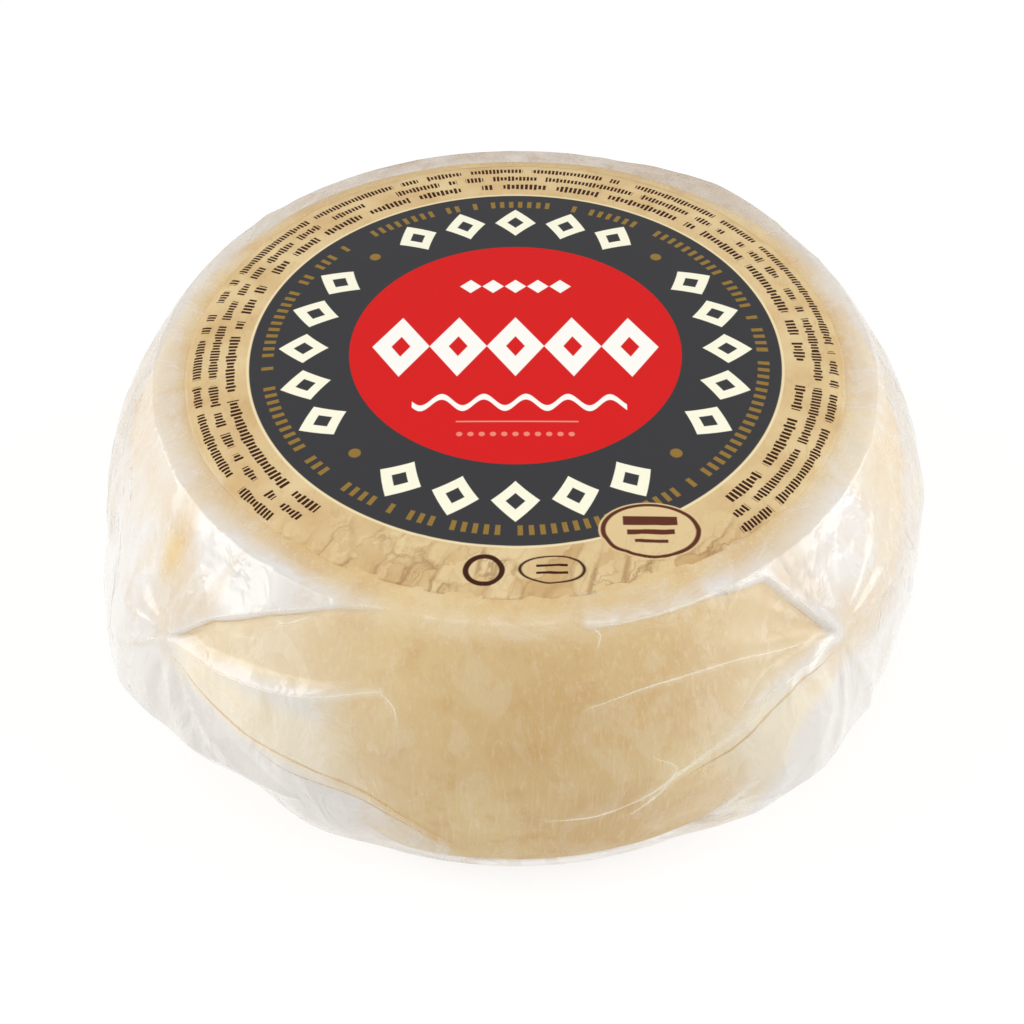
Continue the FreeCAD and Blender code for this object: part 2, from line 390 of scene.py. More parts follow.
def rounded_edge(level, sign):
    """The arc that rounds the edge between the bulging side and a level face.

    It touches the face at that level and the side's arc from inside. Points run from the side
    to the face. sign is 1 for the upper edge and -1 for the lower one.
    """
    middle_z = level - sign * SHOULDER_ROUND
    reach = BELLY_ROUND - SHOULDER_ROUND
    middle_x = BELLY_X + math.sqrt(reach ** 2 - (middle_z - BELLY_Z) ** 2)
    first = math.atan2(middle_z - BELLY_Z, middle_x - BELLY_X)
    return arc((middle_x, middle_z), SHOULDER_ROUND, first, sign * math.pi / 2, 8)


def wheel_section():
    """The cheese's section from the middle of the base to the middle of the crown."""
    lower = rounded_edge(WHEEL_BASE, -1)[::-1]
    upper = rounded_edge(EDGE_TOP - CROWN_DROP, 1)
    low = math.atan2(lower[-1][1] - BELLY_Z, lower[-1][0] - BELLY_X)
    high = math.atan2(upper[0][1] - BELLY_Z, upper[0][0] - BELLY_X)
    side = arc((BELLY_X, BELLY_Z), BELLY_ROUND, low, high, 40)[1:-1]
    base = [(lower[0][0] * i / 8, WHEEL_BASE) for i in range(8)]
    rings = [upper[-1][0] * i / 10 for i in range(9, -1, -1)]
    crown = [(radius, dome(WHEEL_TOP, CROWN_SPHERE, radius)) for radius in rings]
    return base + lower + side + upper + crown


cheese = turned("cheese", wheel_section(), WHEEL_STEPS)

# %% Wear the wheel
SAG = 2.3                   # how far the foot of the front has settled outwards
SAG_PLACE = 269             # the middle of that, in degrees round the wheel
SWELL, RIPPLE = 0.35, 0.10  # how uneven the side is, slowly and quickly

# where the lower edge was pressed rounder: degrees round the wheel, half width, depth
DRAWN_IN = ((230.0, 26.0, 5.0), (327.0, 25.0, 5.0), (128.0, 30.0, 2.5), (45.0, 30.0, 2.0))


def sag(place, z):
    """How far the soft cheese has settled outwards, in millimetres."""
    return SAG * eased(np.abs(place - SAG_PLACE), 44, 26) * eased(z, 27, 7)


def wear_cheese():
    """Settles the foot, draws the lower corners in and makes the side a little uneven."""
    points = read_points(cheese)
    x, y, z = points.T
    radius, turn = np.hypot(x, y), np.arctan2(y, x)
    place = np.degrees(turn) % 360
    off_axis = eased(radius, 0, 60)
    out = sag(place, z) * off_axis
    for middle, wide, depth in DRAWN_IN:
        away = np.abs(apart(place, middle)) / wide
        out -= depth * eased(away, 1.0, 0.2) * eased(z, 34, 8) * off_axis
    side = eased(radius, 55, 70)
    out -= SWELL * side * (1 + clouds(place / 18, z / 22, 41, 20))
    out -= RIPPLE * side * (1 + clouds(place / 5, z / 7, 42, 72))
    points[:, 0], points[:, 1] = (radius + out) * np.cos(turn), (radius + out) * np.sin(turn)
    write_points(cheese, points)


wear_cheese()
report(cheese)

# %% [markdown]
# ## The finish of the rind
# The rind is pale ivory, with tan clouds where it has dried more, fine upright lines from the
# cloth that it was pressed in, and a dull sheen. It could be painted, but noise of three sizes
# gives the clouds at any distance, and a noise that is stretched upwards gives the lines. A
# darker tan patch high on the front is painted shade, as the middle of the front gets less light
# than its sides.

# %% Rind
def rind():
    finish = new_finish("ivory_rind")
    x, y, z = finish.places()
    where = finish.vector(x, y, z)
    drifts = finish.noise(where, 0.035, 2.0, 0.5)
    mottle = finish.noise(where, 0.16, 4.0, 0.6)
    lines = finish.noise(finish.vector(x, y, z * 0.07), 1.3, 4.0, 0.65)
    grain = finish.noise(where, 2.2, 2.0, 0.5)
    ivory, deep_ivory, cloth_line = srgb(227, 202, 150), srgb(213, 180, 125), srgb(240, 218, 176)
    tan, dark_grain, shade_tan = srgb(206, 162, 100), srgb(200, 158, 104), srgb(200, 160, 100)

    colour = finish.blend(drifts.ramp(0.36, 0.66), ivory, deep_ivory)
    colour = finish.blend(mottle.ramp(0.50, 0.72) * 0.60, colour, tan)
    colour = finish.blend(lines.ramp(0.52, 0.72) * 0.50, colour, cloth_line)
    colour = finish.blend(grain.ramp(0.62, 0.80) * 0.25, colour, dark_grain)
    # painted shade: the middle of the front, high up, is darkened towards tan
    front_shade = (abs(x + 2.0) + 20 * mottle).ramp(42.0, 14.0) * (y * -1.0).ramp(50.0, 65.0)
    colour = finish.blend(front_shade * z.ramp(24.0, 52.0) * 0.38, colour, shade_tan)

    height = lines * 0.3 + grain * 0.1 + mottle * 0.5
    return finish.show(finish.node("ShaderNodeBsdfPrincipled", None, {
        "Base Color": colour, "Roughness": 0.55 + 0.2 * mottle,
        "Normal": finish.bump(height, 0.35, 0.8), "Specular IOR Level": 0.35}).out())


cheese.data.materials.append(rind())
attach(cheese, "root")
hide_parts("cheese_wheel")

# %% [markdown]
# ## The paper label
# The label is a disc of brown kraft paper that lies on the crown. A flat circle with a Solidify
# modifier would do for a flat crown. This one is turned as the cheese is, so it follows the
# dome and its rim dips. At the front the film has dragged the bare paper over the shoulder, so
# its vertices are raised there into creases that all run the same way.

# %% The disc
LABEL_RADIUS = (LABEL_HIGH.x - LABEL_LOW.x) / 2 / MM
LABEL_MIDDLE = LABEL_HIGH.z / MM
LABEL_THICK = 0.3
LABEL_RINGS, LABEL_STEPS = 110, 420
RIM_DIP, RIM_WIDTH = 0.55, 2.5
CREASE_WAY = (0.57, 0.82)   # the way that the creases run, across and back
WIDE_CREASE, FINE_CREASE, PAPER_GRAIN = 0.42, 0.20, 0.02     # how high they stand
DRAWN_BACK, LET_OUT, RAGGED = 1.2, 0.8, 0.12    # how far the front, the rear and all edges move


def label_section():
    """From the middle of the underside, round the cut edge, to the middle of the top."""
    def height(radius):
        dip = RIM_DIP * eased(radius, LABEL_RADIUS - RIM_WIDTH, LABEL_RADIUS)
        return dome(LABEL_MIDDLE, CROWN_SPHERE, radius) - dip
    top = [LABEL_RADIUS * (1 - i / LABEL_RINGS) for i in range(LABEL_RINGS + 1)]
    under = [(radius, height(radius) - LABEL_THICK) for radius in top[::-10]]
    return under + [(radius, height(radius)) for radius in top]


label = turned("paper_label", label_section(), LABEL_STEPS)


def crumple_label():
    """Creases the bare paper at the front, draws that edge in and lets the rear edge out."""
    points = read_points(label)
    x, y, z = points.T
    radius, place = np.hypot(x, y), np.degrees(np.arctan2(y, x)) % 360
    along = CREASE_WAY[0] * x + CREASE_WAY[1] * y
    across = CREASE_WAY[1] * x - CREASE_WAY[0] * y
    wide = ridges(across / 4.2 + 20, along / 10.0 + 20, 31)
    fine = ridges(across / 1.9 + 20, along / 5.0 + 20, 32)
    grain = clouds(x / 1.3 + 70, y / 1.3 + 70, 33, 128)
    front = eased(-y, 40, 49) * eased(radius, 49.5, 51.5)
    points[:, 2] += (front * (WIDE_CREASE * wide + FINE_CREASE * fine)
                     + PAPER_GRAIN * grain * eased(radius, 50, 52))
    drawn = (DRAWN_BACK * eased(-y, 25, 55) - LET_OUT * eased(y, 25, 55)
             + RAGGED * (1 + clouds(place / 6.0, radius * 0, 34, 60)))
    drawn = drawn * eased(radius, 50.5, 61.5)
    points[:, :2] *= (1 - drawn / np.maximum(radius, 1.0))[:, None]
    write_points(label, points)


crumple_label()
report(label)

# %% [markdown]
# ## The print
# The print is made of plain fields: a red disc in a charcoal ring, on bare paper. No words are
# printed here: generic lozenges, ticks and dashes of the same colours and sizes hold the places
# of lettering. An image could carry it, but it is worked out in rings and angles round the
# label's middle, so each edge stays sharp however near the camera comes. An ornament that
# repeats is drawn once, in the frame of its own place on the ring.

# %% The shapes that a print is made of
PRINT_EDGE = 0.09           # how soft a printed edge is, in millimetres
ONE_DEGREE = math.radians(1.0)


class Print(Finish):
    """A finish with the places and the shapes that a printed round needs."""

    def __init__(self, name):
        super().__init__(bpy.data.materials.new(name))
        self.x, self.y, self.z = self.places()
        self.radius = (self.x * self.x + self.y * self.y) ** 0.5
        angle = self.node("ShaderNodeMath", {"operation": "ARCTAN2"}, {0: self.y, 1: self.x}).out()
        self.turn = (angle * (180 / math.pi) + 360.0) % 360.0

    def inside(self, distance):
        """1 where a distance in millimetres is below 0, with a soft printed edge."""
        return distance.ramp(PRINT_EDGE, -PRINT_EDGE)

    def ring(self, middle, width):
        return self.inside(abs(self.radius - middle) - width / 2)

    def angles(self, low, high):
        return (self.turn > low) * (self.turn < high)

    def lozenge(self, across, up, wide, tall):
        """A diamond of that width and height, round where across and up are 0."""
        depth = (1 - abs(across) * (2 / wide) - abs(up) * (2 / tall)) * (min(wide, tall) / 2)
        return depth.ramp(-PRINT_EDGE, PRINT_EDGE)

    def oval(self, across, up, wide, tall):
        """Distance outside an oval round where across and up are 0, roughly."""
        away = ((across * (2 / wide)) ** 2.0 + (up * (2 / tall)) ** 2.0) ** 0.5
        return (away - 1) * (min(wide, tall) / 2)

    def chance(self, cell):
        """A random number from 0 to 1 for each value of cell."""
        return self.node("ShaderNodeTexWhiteNoise", {"noise_dimensions": "1D"},
                         {"W": cell}).out("Value")

    def facets(self, where, scale, feature, name):
        """Broken flat places, as crumpled paper has."""
        return self.node("ShaderNodeTexVoronoi", {"voronoi_dimensions": "2D", "feature": feature},
                         {"Vector": where, "Scale": scale}).out(name)


# %% The paper itself
def kraft_paper(finish):
    """The paper's colour, with painted light and shade on the crumpled front, and how high its
    fibres and creases stand.
    """
    x, y, z = finish.x, finish.y, finish.z
    where = finish.vector(x, y, z)
    fibre = finish.noise(finish.vector(x, y * 0.35, z), 1.1, 4.0, 0.6)
    cloud = finish.noise(where, 0.09, 3.0, 0.55)
    paper = finish.blend(cloud.ramp(0.35, 0.7), srgb(228, 203, 155), srgb(211, 178, 127))
    paper = finish.blend(fibre.ramp(0.55, 0.8) * 0.4, paper, srgb(186, 148, 96))

    # the front is crumpled: flat places painted lighter and darker, as painted light and shade,
    # and creases between them painted dark, as painted shade
    front = (y * -1.0).ramp(40.0, 50.0) * finish.radius.ramp(49.5, 51.5)
    bend = finish.noise(where, 0.22, 3.0, 0.6)
    slanted = finish.vector(CREASE_WAY[1] * x - CREASE_WAY[0] * y + 5 * bend,
                            (CREASE_WAY[0] * x + CREASE_WAY[1] * y) * 0.42 - 5 * bend, 0.0)
    crease_strength = finish.noise(where, 0.13, 2.0, 0.5).ramp(0.42, 0.62)
    wide = finish.facets(slanted, 0.20, "DISTANCE_TO_EDGE", "Distance").ramp(0.09, 0.0)
    fine = finish.facets(slanted, 0.50, "DISTANCE_TO_EDGE", "Distance").ramp(0.10, 0.0)
    creases = (wide * (0.3 + crease_strength) + fine * crease_strength * 0.6).clamped() * front
    facet_shade = (finish.facets(slanted, 0.20, "F1", "Color") * 0.6
            + finish.facets(slanted, 0.55, "F1", "Color") * 0.4)
    # painted light and shade: some facets are darker, others lighter, as if turned from or towards
    # the lamps
    paper = finish.blend(front * facet_shade.ramp(0.42, 0.85) * 0.7, paper, srgb(194, 156, 104))
    paper = finish.blend(front * facet_shade.ramp(0.5, 0.15) * 0.6, paper, srgb(232, 208, 162))
    # painted shade: the creases are darkened to brown
    paper = finish.blend(creases * 0.5, paper, srgb(146, 100, 58))

    crumple = finish.noise(where, 0.16, 4.0, 0.65, 1.2)
    return paper, fibre * 0.10 + crumple * (0.10 + 0.9 * front) - creases * 0.5


# %% Rows of ticks and the charcoal ring
INK_BROWN, CHARCOAL, RED = srgb(58, 28, 10), srgb(56, 56, 58), srgb(216, 30, 30)
CREAM, GOLD = srgb(253, 250, 226), srgb(146, 116, 56)
DISC_RADIUS, RING_RADIUS = 31.3, 50.0

# rows of small ticks: radius, tick height, pitch, and the angles between which there are none
TICK_ROWS = ((53.5, 2.0, 0.95, 231.0, 313.0), (56.7, 1.7, 0.80, 230.0, 311.0),
             (59.7, 1.7, 0.80, 226.0, 309.0))


def small_ticks(finish, colour):
    """Three rows of fine brown ticks, in groups, where small print would be."""
    rows = 0.0
    for row, (middle, tall, pitch, first, last) in enumerate(TICK_ROWS):
        cell = finish.turn * (ONE_DEGREE * middle / pitch)
        group = finish.chance((cell / 2.4).floor() + 31.7 * row) > 0.20
        reach = tall * (0.32 + 0.24 * finish.chance(cell.rounded() + 11.3 * row))
        upright = abs(cell - cell.rounded()) < 0.33
        ticks = finish.inside(abs(finish.radius - middle) - reach) * upright * group
        rows = rows + ticks * (1 - finish.angles(first, last))
    return finish.blend(rows.clamped(), colour, INK_BROWN)


def charcoal_ring(finish, colour):
    """The ring with its thin pale rim, a circle of lozenges and a circle of gold ticks."""
    colour = finish.blend(finish.ring(RING_RADIUS + 0.25, 0.5), colour, srgb(240, 222, 180))
    colour = finish.blend(finish.inside(finish.radius - RING_RADIUS), colour, CHARCOAL)

    # cream lozenges in four groups of five, with a gold dot between the groups
    pitch, circle = 15.0, 40.0
    number = (finish.turn / pitch).rounded()
    across = (finish.turn - number * pitch) * (ONE_DEGREE * circle)
    up = finish.radius - circle
    gap = abs((number + 3.0) % 6.0) < 0.5
    motif = finish.lozenge(across, up, 8.4, 9.4) * (1 - finish.lozenge(across, up, 3.4, 3.8))
    colour = finish.blend(motif * (1 - gap), colour, CREAM)
    colour = finish.blend(finish.inside(finish.oval(across, up, 2.2, 2.2)) * gap, colour, GOLD)

    # a circle of small gold ticks outside them, with some left out
    circle = 46.6
    cell = finish.turn * (ONE_DEGREE * circle / 1.9)
    tick = (abs(cell - cell.rounded()) < 0.24) * finish.ring(circle, 2.2)
    return finish.blend(tick * (finish.chance(cell.rounded() + 7.3) > 0.16), colour, GOLD)


# %% The red disc and the marks at the front
def red_disc(finish, colour):
    """The disc, with a band of lozenges, a wavy line, a rule and a row of beads."""
    x, y = finish.x, finish.y
    colour = finish.blend(finish.inside(finish.radius - DISC_RADIUS), colour, RED)
    pitch = 10.8
    column = (x / pitch).rounded()
    beside = x - column * pitch
    band = finish.lozenge(beside, y, pitch, 17.0) * (abs(column) < 2.5)
    band = band * (1 - finish.lozenge(beside, y, 3.6, 5.8))
    pitch = 4.4
    column = (x / pitch).rounded()
    above = finish.lozenge(x - column * pitch, y - 18.2, 4.2, 4.2) * (abs(column) < 2.5)
    wave = finish.inside(abs(y + 15.6 - 1.5 * (x * 0.82).sine()) - 0.75) * (abs(x - 0.7) < 19.5)
    colour = finish.blend((band + above + wave).clamped(), colour, srgb(255, 252, 246))
    rule = finish.inside(abs(y + 20.6) - 0.16) * (abs(x - 0.3) < 11.0)
    colour = finish.blend(rule, colour, srgb(240, 150, 130))
    pitch = 2.0
    column = (x / pitch).rounded()
    beads = finish.inside(finish.oval(x - column * pitch, y + 23.8, 1.1, 1.1))
    return finish.blend(beads * (abs(column) < 5.5), colour, srgb(238, 140, 122))


def front_marks(finish, colour):
    """A plain ring, a plain oval with two bars, and a pale oval with three bars."""
    x, y = finish.x, finish.y
    mark = finish.inside(abs(finish.oval(x + 5.2, y + 55.1, 6.0, 5.6)) - 0.45)
    oval = finish.inside(abs(finish.oval(x - 6.0, y + 55.0, 10.6, 5.6)) - 0.16)
    bars = (abs(x - 6.0) < 2.6) * (abs(abs(y + 55.0) - 0.8) < 0.26)
    colour = finish.blend((mark + oval + bars).clamped(), colour, INK_BROWN)
    across, up = x - 22.7, y + 46.4
    seal = finish.oval(across, up, 17.6, 12.4)
    colour = finish.blend(finish.inside(seal), colour, srgb(226, 199, 150))
    lines = finish.inside(abs(seal + 0.55) - 0.3)
    for level, half, tall in ((2.1, 4.6, 1.0), (-0.4, 4.0, 0.55), (-2.4, 2.8, 0.35)):
        lines = lines + finish.inside(abs(across) - half) * finish.inside(abs(up - level) - tall)
    return finish.blend(lines.clamped(), colour, srgb(92, 46, 30))


# %% Print the label
def printed_paper():
    finish = Print("printed_kraft_paper")
    colour, height = kraft_paper(finish)
    for field in (small_ticks, charcoal_ring, red_disc, front_marks):
        colour = field(finish, colour)
    return finish.show(finish.node("ShaderNodeBsdfPrincipled", None, {
        "Base Color": colour, "Roughness": 0.6, "Specular IOR Level": 0.12,
        "Normal": finish.bump(height, 0.5, 0.6)}).out())


label.data.materials.append(printed_paper())
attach(label, "root")
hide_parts("round_label")

# %% [markdown]
# ## The film
# The bag is wider than the wheel. It lies tight over the crown and the base, hugs the middle of
# the front, and stands off in folded ears at the sides, where its corners are tucked in. A cloth
# simulation could drape it, but the folds would then fall anywhere. So the film starts as a
# shell turned round the cheese's own section, and the ears and folds are pushed into it, as in
# sculpting, along fold lines laid out flat on the side. Each point of a line is a place in
# degrees round the wheel and a height in millimetres.

# %% Turn the film
FILM_OFF = 0.5              # how far the film lies off what it covers
FILM_BASE = 0.2             # height of its underside
FILM_TOP = FILM_HIGH.z / MM - 0.2
FILM_EDGE = EDGE_TOP + 0.9  # height where the side turns into the crown
FILM_ROUND = BELLY_ROUND + FILM_OFF
FILM_ROWS, FILM_STEPS = 160, 560
FOOT = BELLY_X + math.sqrt(FILM_ROUND ** 2 - (FILM_BASE - BELLY_Z) ** 2)


def film_section():
    """The film's section before it is pushed about, with an even pitch on the side."""
    low = math.asin((FILM_BASE - BELLY_Z) / FILM_ROUND)
    high = math.asin((FILM_EDGE - BELLY_Z) / FILM_ROUND)
    side = arc((BELLY_X, BELLY_Z), FILM_ROUND, low, high, FILM_ROWS)
    base = [(side[0][0] * i / 7, FILM_BASE) for i in range(7)]
    corner, corner_z = side[-1]
    rise = FILM_TOP - corner_z
    sphere = (corner ** 2 + rise ** 2) / (2 * rise)
    crown = [(corner * share, dome(FILM_TOP, sphere, corner * share))
             for share in (0.985, 0.96, 0.92, 0.85, 0.75, 0.6, 0.4, 0.2, 0.0)]
    return base + side + crown


film = turned("clear_film", film_section(), FILM_STEPS)

# %% Ears, pockets and where the film is tight
ONE_PLACE = ONE_DEGREE * WHEEL_RADIUS    # millimetres round the belly in one degree
EAR_REACH, EAR_RISE = 42.0, 30.0         # how far an ear spreads sideways and upwards

# each ear: its place, its level, and how far it stands off
EARS = ((212.0, 27.0, 6.2), (309.0, 24.0, 3.8), (52.0, 57.0, 3.6), (140.0, 42.0, 2.6))

# Each front ear opens towards the middle of the front as a pocket, where the film lies tight
# again. These are the pockets' upper and lower edges, out from the tip of the ear.
LEFT_UPPER = ((221.0, 48.3), (226.7, 56.3), (235.3, 63.0), (244.6, 67.9), (251.0, 69.5))
LEFT_LOWER = ((221.0, 47.4), (228.4, 48.7), (234.9, 50.7), (243.9, 53.2), (252.7, 56.6))
RIGHT_UPPER = ((315.4, 51.9), (312.6, 57.5), (306.7, 67.3), (298.3, 68.5), (280.0, 68.7))
RIGHT_LOWER = ((315.4, 51.9), (305.3, 50.6), (300.9, 48.0), (294.1, 41.0), (285.7, 33.0))
TIPS = ((221.0, 48.0), (315.4, 52.0), (64.0, 46.0), (131.0, 48.0))


def away_from(line, place, z):
    """How far points lie from a line, signed: positive on the left of its direction."""
    best = np.full(place.shape, 1e9)
    side = np.ones(place.shape)
    for (first_place, first_z), (last_place, last_z) in zip(line, line[1:]):
        x, y = apart(place, first_place) * ONE_PLACE, z - first_z
        run, rise = apart(last_place, first_place) * ONE_PLACE, last_z - first_z
        share = np.clip((x * run + y * rise) / (run * run + rise * rise), 0, 1)
        gap = np.hypot(x - share * run, y - share * rise)
        nearer = gap < best
        best = np.where(nearer, gap, best)
        side = np.where(nearer, np.sign(run * y - rise * x), side)
    return best * side


def tightness(place, z):
    """1 where the film lies tight on the side of the cheese, 0 where it hangs free."""
    left = np.minimum(-away_from(LEFT_UPPER, place, z), away_from(LEFT_LOWER, place, z))
    right = np.minimum(away_from(RIGHT_UPPER, place, z), -away_from(RIGHT_LOWER, place, z))
    left = eased(left, 0, 1.8) * (place > 215) * eased(place, 285, 273)
    right = eased(right, 0, 1.8) * (place < 320) * eased(place, 255, 267)
    front = eased(np.abs(place - 272), 32, 20) * eased(z, 67, 61)
    return np.maximum(np.maximum(left, right), front)


heights = np.linspace(0, FILM_EDGE, 70)
for name, place in (("front", 270.0), ("left", 180.0), ("left pocket", 235.0)):
    share = tightness(np.full(70, place), heights).mean()
    print("film tight at the", name, round(float(share), 2))

# %% Push the ears and folds into the film
FILM_SLACK = 2.8            # how far it hangs off the belly between the ears
REAR_SLACK = 0.3            # the share of that which is lost at the rear
SHOULDER_SLACK = 0.4        # the share which is left at the shoulder
PULLED_IN = 0.82            # the share which is lost where it lies tight
CREASE_DEPTH, CREASE_REACH = 1.4, 30.0
CRUMPLE_DEPTH = 0.7
TUCK_FOOT, TUCK_RIM = 0.35, 0.55    # how far the foot is pulled in, and its rim besides
CROWDING = 0.5              # how much the mesh's columns crowd together at the front


def film_push(place, z):
    """How far the film stands off its turned shape, in millimetres."""
    share = np.clip(z / FILM_EDGE, 0.0, 1.0)
    loose = np.sin(np.pi * share) ** 0.7
    loose = np.where(share > 0.8, np.maximum(loose, SHOULDER_SLACK), loose)
    out = loose * FILM_SLACK * (1 - REAR_SLACK * np.sin(np.radians(place)))
    for ear_place, level, lift in EARS:
        across = np.abs(apart(place, ear_place)) * ONE_PLACE / EAR_REACH
        out = out + lift * np.clip(1.0 - across - np.abs(z - level) / EAR_RISE, 0.0, None)
    out = out * (1.0 - PULLED_IN * tightness(place, z))

    # creases run out from each tip like the ribs of a fan
    for number, (tip_place, tip_z) in enumerate(TIPS):
        across, up = apart(place, tip_place) * ONE_PLACE, z - tip_z
        reach = np.hypot(across, up)
        way = np.degrees(np.arctan2(up, across))
        ribs = ridges(way / 15.0, reach / 60.0, 11 + number, 24)
        fade = eased(reach, 0, 10) * np.exp(-reach / CREASE_REACH)
        out = out + CREASE_DEPTH * ribs * fade * loose

    # small crumples everywhere that the film is free
    free = 1.0 - 0.8 * tightness(place, z)
    crumple = (free * ridges(place / 6.0 + z / 30.0, z / 15.0 - place / 40.0, 5, 60)
               + 0.05 * clouds(place / 2.0, z / 6.0, 6, 180))
    return out + sag(place, z) + loose * CRUMPLE_DEPTH * crumple


def from_front(place):
    """Degrees from the middle of the bare front, either way."""
    return np.abs(apart(place, 268))


def at_foot(radius, place):
    """1 at the film's outer rim in the middle of the front, and 0 elsewhere."""
    return eased(from_front(place), 38, 28) * eased(radius, FOOT - 3.0, FOOT)


def foot_tuck(radius, place, z):
    """How far the film is pulled in under the cheese's round edge at the front."""
    return at_foot(radius, place) * (TUCK_FOOT * eased(z, 10, 4) + TUCK_RIM * eased(z, 2.8, 0.8))


film_points = read_points(film)
film_z = film_points[:, 2]
film_radius = np.hypot(film_points[:, 0], film_points[:, 1])
film_turn = np.arctan2(film_points[:, 1], film_points[:, 0])
film_turn = film_turn - CROWDING * np.cos(film_turn)
film_place = np.degrees(film_turn) % 360
on_side = eased(film_radius, CORNER - 4.0, CORNER) * eased(film_z, 0.25, 1.55)
film_out = film_push(film_place, film_z) * on_side

pushed = film_radius + film_out - foot_tuck(film_radius, film_place, film_z)
film_points[:, 0] = pushed * np.cos(film_turn)
film_points[:, 1] = pushed * np.sin(film_turn)
write_points(film, film_points)
report(film)

# %% [markdown]
# ## Where the film is milky
# Loose film scatters light and looks milky; film that lies on the cheese is nearly clear. The
# finish can't work that out for itself, so it is told by three numbers on each vertex, as one
# would paint them with a weight brush. They are free, for how much the film shines, haze, for
# how milky it is, and warm, for how much of the cheese's own colour it takes on. The haze is
# partly painted light: its patches and the milk along the folds also whiten the film where the
# soft boxes are reflected, and make the sides of the front lighter than its middle.

# %% Milky patches and fold lines
# patches of milk and painted light: degrees round the wheel, height, half width in degrees, half
# height, strength
MILK_AND_LIGHT = (
    (205.0, 56.0, 17.0, 22.0, 0.45), (229.0, 66.0, 20.0, 9.0, 0.6), (321.0, 63.0, 16.0, 13.0, 0.7),
    (334.0, 44.0, 14.0, 24.0, 0.15), (216.5, 61.0, 3.5, 9.0, -0.6), (312.0, 34.0, 18.0, 18.0, 0.3),
    (232.0, 30.0, 22.0, 20.0, 0.3), (264.0, 69.0, 36.0, 4.5, 0.25), (238.0, 38.0, 25.0, 44.0, 1.1),
    (302.0, 46.0, 15.0, 28.0, 0.5), (272.0, 8.0, 40.0, 16.0, 0.22), (68.0, 46.0, 20.0, 20.0, 0.3),
    (122.0, 46.0, 20.0, 20.0, 0.3), (30.0, 40.0, 25.0, 30.0, 0.2), (165.0, 40.0, 25.0, 30.0, 0.25),
    (95.0, 30.0, 20.0, 26.0, 0.15),
)

# fold lines that are milky for some way each side, with a painted highlight: the line, its width
# in millimetres, strength
FOLD_MILK_AND_HIGHLIGHTS = ((RIGHT_UPPER[:4], 1.3, 0.5), (RIGHT_LOWER, 0.8, 0.15), (LEFT_LOWER, 0.8, 0.15))

# Below these two lines the film leaves the foot of the cheese and hangs as a white skirt.
LEFT_SKIRT = ((215.0, 46.0), (222.3, 45.0), (233.4, 41.0), (242.3, 39.0), (252.3, 31.5),
              (262.0, 20.0), (266.0, 4.0))
RIGHT_SKIRT = ((316.0, 49.0), (308.4, 46.8), (303.6, 41.7), (300.2, 28.0), (298.0, 4.0))

# folded and pinched lines, and how thick the bead along each is in millimetres
BEADS = (
    (LEFT_UPPER[:-1], 0.34), (LEFT_LOWER, 0.42), (RIGHT_UPPER, 0.42), (RIGHT_LOWER, 0.42),
    (((213.1, 39.0), (218.1, 45.0), (221.0, 48.0)), 0.30),
    (((222.5, 45.4), (228.0, 46.0), (233.6, 45.6), (240.3, 41.4), (246.7, 36.5)), 0.22),
    (((235.4, 61.7), (237.9, 61.6), (241.7, 64.6)), 0.22),
    (((230.2, 55.1), (234.6, 57.2)), 0.18),
    (((252.7, 56.6), (254.6, 54.6), (255.2, 52.0)), 0.25),
    (((304.8, 68.1), (309.0, 68.8)), 0.3),
    (((314.9, 51.1), (307.2, 54.3), (298.1, 57.1), (287.6, 57.6), (279.2, 55.8)), 0.28),
    (((280.2, 68.2), (281.4, 66.4), (280.8, 64.5)), 0.25),
    (((307.9, 53.0), (303.4, 51.7), (297.8, 46.8)), 0.18),
    (((287.1, 43.7), (290.2, 39.6), (287.8, 35.0), (280.7, 30.6), (273.7, 30.3)), 0.20),
    (((284.5, 28.4), (288.3, 33.7), (289.9, 37.9), (294.2, 39.6)), 0.32),
)

# lines with the cheese's own tan, where the film is doubled over it, darkened further as painted
# shade along the folds
SHADES = (
    (((222.3, 44.9), (233.4, 40.8), (242.3, 39.0), (252.3, 31.8), (262.0, 20.5)), 0.30),
    (((237.0, 38.0), (246.6, 33.5), (255.0, 26.0), (260.0, 20.0)), 0.18),
    (((313.7, 49.7), (307.2, 49.6), (301.4, 46.1), (297.1, 40.8), (292.0, 36.3)), 0.32),
    (((222.0, 48.6), (227.0, 55.4), (235.6, 62.0), (243.6, 66.6)), 0.30),
    (((313.5, 54.0), (308.9, 62.0)), 0.22),
)
print(len(MILK_AND_LIGHT), "milky patches,", len(BEADS), "beads and", len(SHADES), "tan lines")


# %% Number each vertex for the finish
# how milky film is: anywhere, at the shoulder, where it stands off, and at the sides, where it is
# also painted light
MILK_ALL, MILK_SHOULDER, MILK_LOOSE, SIDE_MILK_AND_LIGHT = 0.03, 0.16, 0.30, 0.36
# and on the skirts, on the crown's rim, and under the foot of the front
MILK_SKIRT, MILK_CROWN, MILK_FOOT = 0.40, 0.42, 0.55
# the milk beside a bead is partly a painted highlight along the fold
BEAD_MILK_AND_HIGHLIGHT, BEAD_WIDTH = 0.5, 0.7    # beside a bead: for its thickness, and how far it spreads
REAR_LOSS = 0.8             # the share of milk and shine that film loses high at the rear
POCKET_LOSS, POCKET_WIDTH = 0.8, 4.5    # the shine lost near the left pocket's lower edge


def put_number(piece, name, values):
    """Keeps one number for each vertex on the mesh, for the finish to read."""
    numbers = piece.data.attributes.new(name, "FLOAT", "POINT")
    numbers.data.foreach_set("value", values.astype(np.float32))
    print(name, "is", round(float(values.mean()), 3), "on average")


def at_rear(place):
    """1 at the rear, 0 from the sides forwards."""
    return smooth(np.sin(np.radians(place)))


